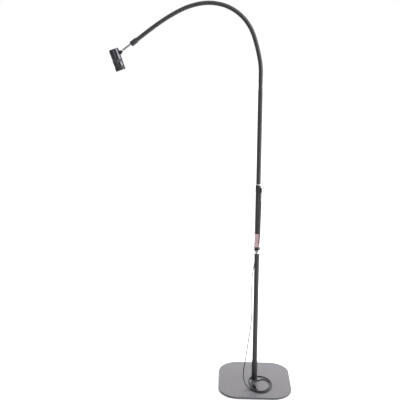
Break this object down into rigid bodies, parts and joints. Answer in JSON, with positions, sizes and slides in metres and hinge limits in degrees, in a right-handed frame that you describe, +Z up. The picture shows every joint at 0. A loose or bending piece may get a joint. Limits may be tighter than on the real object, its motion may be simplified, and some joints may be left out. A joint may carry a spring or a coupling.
{
  "type": "gooseneck reading floor lamp",
  "caption": "Floor lamp with a square plate base, a slim three-tube post, a long gooseneck and a small tilting and swivelling cylindrical spot head.",
  "frame": {"origin": "on the floor, under the post axis, at the centre of the square base", "axes": "+Z up the post; the neck arm reaches out along -X in the plane Y = 0; the sides of the base lie along X and Y"},
  "size_m": [0.678, 0.28, 1.4404],
  "materials": {
    "powder_coated_plate": "matt fine-textured powder coat",
    "foam": "closed-cell foam",
    "zinc_steel": "zinc plated",
    "moulded_foot": "moulded, satin",
    "enamelled_tube": "semi-gloss black paint",
    "bright_chrome": "bright plated",
    "dark_ring_plastic": "satin black",
    "collar_plastic": "moulded, satin",
    "spring_steel": "oiled",
    "gooseneck_steel": "black finished winding wire",
    "head_gloss": "gloss black",
    "head_grey": "matt grey ring",
    "bezel_black": "matt",
    "bracket_black": "satin black",
    "frosted_lens": "frosted",
    "cast_aluminium": "as turned",
    "circuit_board": "white solder mask",
    "phosphor": "yellow phosphor",
    "mirror_plate": "bright",
    "switch_plastic": "moulded",
    "cord_jacket": "satin jacket",
    "plug_brass": "nickel plated"
  },
  "bodies": {
    "stand": {"base_plate": "powder_coated_plate", "base_pad": "foam", "base_washer": "zinc_steel", "base_bolt": "zinc_steel", "foot_socket": "moulded_foot", "foot_insert": "zinc_steel", "lower_tube": "enamelled_tube", "chrome_ring": "bright_chrome", "dark_ring": "dark_ring_plastic", "coupler_spigot": "cast_aluminium", "middle_tube": "enamelled_tube", "upper_tube": "enamelled_tube", "collar_spigot": "cast_aluminium", "cord_collar": "collar_plastic", "silver_ring": "bright_chrome", "neck_ferrule": "enamelled_tube", "pole_lead": "cord_jacket", "neck_winding_0": "gooseneck_steel", "neck_core_0": "spring_steel", "cord_boot": "cord_jacket", "supply_cord": "cord_jacket", "plug_body": "cord_jacket", "plug_barrel": "plug_brass"},
    "neck_1": {"neck_core_1": "spring_steel", "neck_winding_1": "gooseneck_steel"},
    "neck_2": {"neck_core_2": "spring_steel", "neck_winding_2": "gooseneck_steel"},
    "neck_3": {"neck_core_3": "spring_steel", "neck_winding_3": "gooseneck_steel"},
    "neck_4": {"neck_core_4": "spring_steel", "neck_winding_4": "gooseneck_steel"},
    "neck_5": {"neck_core_5": "spring_steel", "neck_winding_5": "gooseneck_steel"},
    "neck_6": {"neck_core_6": "spring_steel", "neck_winding_6": "gooseneck_steel"},
    "neck_7": {"neck_core_7": "spring_steel", "neck_winding_7": "gooseneck_steel"},
    "neck_8": {"neck_core_8": "spring_steel", "neck_winding_8": "gooseneck_steel"},
    "neck_9": {"neck_core_9": "spring_steel", "neck_winding_9": "gooseneck_steel", "neck_end_sleeve": "gooseneck_steel"},
    "stem": {"stem": "bright_chrome"},
    "head": {"rear_shell": "head_gloss", "rear_cap": "head_gloss", "switch_body": "switch_plastic", "heat_sink": "cast_aluminium", "led_board": "circuit_board", "led_emitter": "phosphor", "mid_ring": "head_grey", "front_shell": "head_gloss", "bezel": "bezel_black", "lens": "frosted_lens", "reflector": "mirror_plate", "tilt_bracket": "bracket_black", "tilt_screw": "zinc_steel", "tilt_nut": "zinc_steel"},
    "button": {"switch_button": "switch_plastic"}
  },
  "joints": [
    {"name": "neck_side_1", "type": "hinge", "parent": "stand", "child": "neck_1", "pos_m": [0, 0, 1.193], "axis": [-1, 0, 0], "range_deg": [-20, 20]},
    {"name": "neck_bend_2", "type": "hinge", "parent": "neck_1", "child": "neck_2", "pos_m": [-0.00539, 0, 1.24563], "axis": [0, -1, 0], "range_deg": [-28, 12]},
    {"name": "neck_bend_3", "type": "hinge", "parent": "neck_2", "child": "neck_3", "pos_m": [-0.02576, 0, 1.31984], "axis": [0, -1, 0], "range_deg": [-28, 12]},
    {"name": "neck_side_4", "type": "hinge", "parent": "neck_3", "child": "neck_4", "pos_m": [-0.06606, 0, 1.3847], "axis": [-0.7108, 0, -0.7034], "range_deg": [-20, 20]},
    {"name": "neck_bend_5", "type": "hinge", "parent": "neck_4", "child": "neck_5", "pos_m": [-0.13107, 0, 1.42454], "axis": [0, -1, 0], "range_deg": [-28, 12]},
    {"name": "neck_bend_6", "type": "hinge", "parent": "neck_5", "child": "neck_6", "pos_m": [-0.20715, 0, 1.43146], "axis": [0, -1, 0], "range_deg": [-28, 12]},
    {"name": "neck_side_7", "type": "hinge", "parent": "neck_6", "child": "neck_7", "pos_m": [-0.2808, 0, 1.41007], "axis": [0.4242, 0, -0.9056], "range_deg": [-20, 20]},
    {"name": "neck_bend_8", "type": "hinge", "parent": "neck_7", "child": "neck_8", "pos_m": [-0.34078, 0, 1.37729], "axis": [0, -1, 0], "range_deg": [-28, 12]},
    {"name": "neck_bend_9", "type": "hinge", "parent": "neck_8", "child": "neck_9", "pos_m": [-0.39735, 0, 1.33885], "axis": [0, -1, 0], "range_deg": [-28, 12]},
    {"name": "stem_swivel", "type": "hinge", "parent": "neck_9", "child": "stem", "pos_m": [-0.45254, 0, 1.29846], "axis": [-0.807, 0, -0.5906], "range_deg": [-170, 170]},
    {"name": "head_tilt", "type": "hinge", "parent": "stem", "child": "head", "pos_m": [-0.49491, 0, 1.26745], "axis": [0, -1, 0], "range_deg": [-60, 85]},
    {"name": "button_press", "type": "slide", "parent": "head", "child": "button", "axis": [0.3206, 0, -0.9472], "range_m": [0, 0.0015], "stiffness_N_per_m": 1500, "springref_m": -0.0005}
  ]
}
